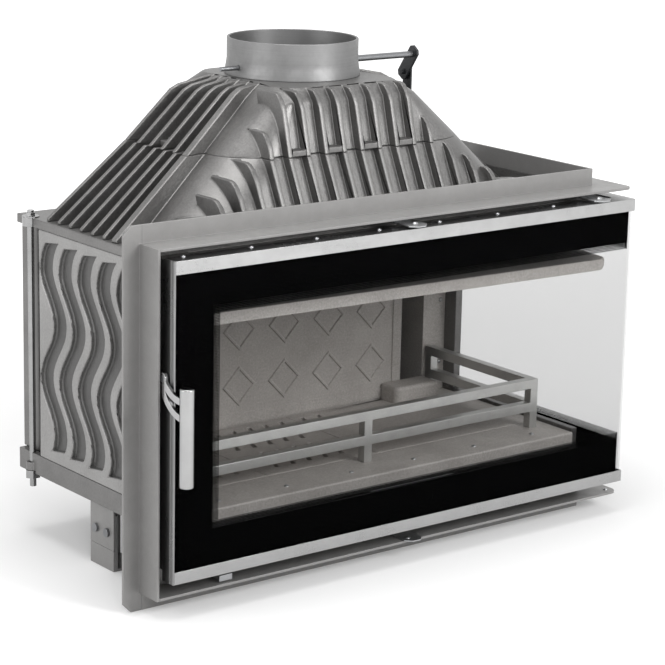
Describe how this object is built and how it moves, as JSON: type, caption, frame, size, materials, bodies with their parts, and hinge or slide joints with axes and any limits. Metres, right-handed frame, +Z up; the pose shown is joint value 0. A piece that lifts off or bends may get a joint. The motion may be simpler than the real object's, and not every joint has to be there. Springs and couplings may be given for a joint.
{
  "type": "fireplace insert",
  "caption": "Cast-iron fireplace insert with a two-sided corner-glass door, ribbed smoke dome, round flue collar with damper, wavy-grooved side wall, log guard and channel legs.",
  "frame": {"origin": "middle of the overall width and depth, on the floor", "axes": "+X right, +Y back, +Z up, seen from the front pane"},
  "size_m": [0.91, 0.522, 0.75],
  "materials": {
    "castings": "fine-grained gunmetal heat paint",
    "frame_steel": "satin grey heat paint",
    "collar_steel": "satin silver-grey heat paint",
    "dark_steel": "satin black",
    "rod_steel": "drawn bar, left bare",
    "linings": "matt warm grey",
    "sash_steel": "brushed stainless",
    "guard_steel": "satin stainless",
    "zinc": "bright zinc",
    "polished_steel": "polished",
    "pane": "clear ceramic glass with a black printed edge",
    "rope": "woven glass rope"
  },
  "bodies": {
    "insert": {"ash_well": "frame_steel", "back_lining": "linings", "back_wall": "castings", "baffle": "linings", "base_casting": "castings", "damper_quadrant": "dark_steel", "deflector": "linings", "dome_bolts": "dark_steel", "dome_lower": "castings", "dome_upper": "castings", "floor_left": "linings", "floor_right": "linings", "flue_spigot": "collar_steel", "frame_bottom_angle": "frame_steel", "frame_left_angle": "frame_steel", "frame_rear_angle": "frame_steel", "frame_top_angle": "frame_steel", "hearth_apron": "linings", "hinge_pins": "zinc", "inlet_spigot": "frame_steel", "latch_keeper": "zinc", "left_jamb": "castings", "left_lining": "linings", "left_wall": "castings", "leg_bolts": "zinc", "leg_brackets": "frame_steel", "leg_feet": "frame_steel", "lip_clips": "zinc", "neck_lintel": "castings", "neck_sill": "castings", "panel_screws": "zinc", "port_covers": "castings", "rear_post": "linings", "right_wall": "castings", "shutter_guides": "frame_steel", "tie_nuts": "zinc", "tie_rods": "rod_steel", "top_casting": "castings"},
    "door": {"sash_top_rail": "sash_steel", "sash_bottom_rail": "sash_steel", "sash_left_stile": "sash_steel", "sash_rear_stile": "sash_steel", "front_glass": "pane", "side_glass": "pane", "glass_clamps": "zinc", "door_seal": "rope", "rail_screws": "zinc"},
    "handle": {"handle_arm": "polished_steel", "handle_grip": "polished_steel", "latch_shaft": "polished_steel", "latch_hook": "zinc"},
    "damper": {"damper_shaft": "rod_steel", "damper_flap": "dark_steel", "flap_bolts": "zinc", "damper_lever": "dark_steel"},
    "guard": {"log_guard": "guard_steel"},
    "grate": {"grate": "linings"},
    "ash_pan": {"ash_pan": "dark_steel"},
    "air_control": {"air_shutter": "frame_steel", "air_lever": "zinc"}
  },
  "joints": [
    {"name": "door_hinge", "type": "hinge", "parent": "insert", "child": "door", "pos_m": [0.428, 0.212, 0.282], "axis": [0, 0, 1], "range_deg": [0, 100]},
    {"name": "handle_turn", "type": "hinge", "parent": "door", "child": "handle", "pos_m": [-0.421, -0.1935, 0.346], "axis": [-1, 0, 0], "range_deg": [0, 40]},
    {"name": "damper_turn", "type": "hinge", "parent": "insert", "child": "damper", "pos_m": [0.013, 0.107, 0.709], "axis": [1, 0, 0], "range_deg": [0, 90]},
    {"name": "guard_lift", "type": "slide", "parent": "insert", "child": "guard", "axis": [0, 0, 1], "range_m": [0, 0.03]},
    {"name": "grate_lift", "type": "slide", "parent": "insert", "child": "grate", "axis": [0, 0, 1], "range_m": [0, 0.04]},
    {"name": "pan_lift", "type": "slide", "parent": "insert", "child": "ash_pan", "axis": [0, 0, 1], "range_m": [0, 0.04]},
    {"name": "air_slide", "type": "slide", "parent": "insert", "child": "air_control", "axis": [1, 0, 0], "range_m": [0, 0.025]}
  ],
  "couplings": [
    {"joint": "pan_lift", "follows": "grate_lift", "ratio": 1}
  ]
}
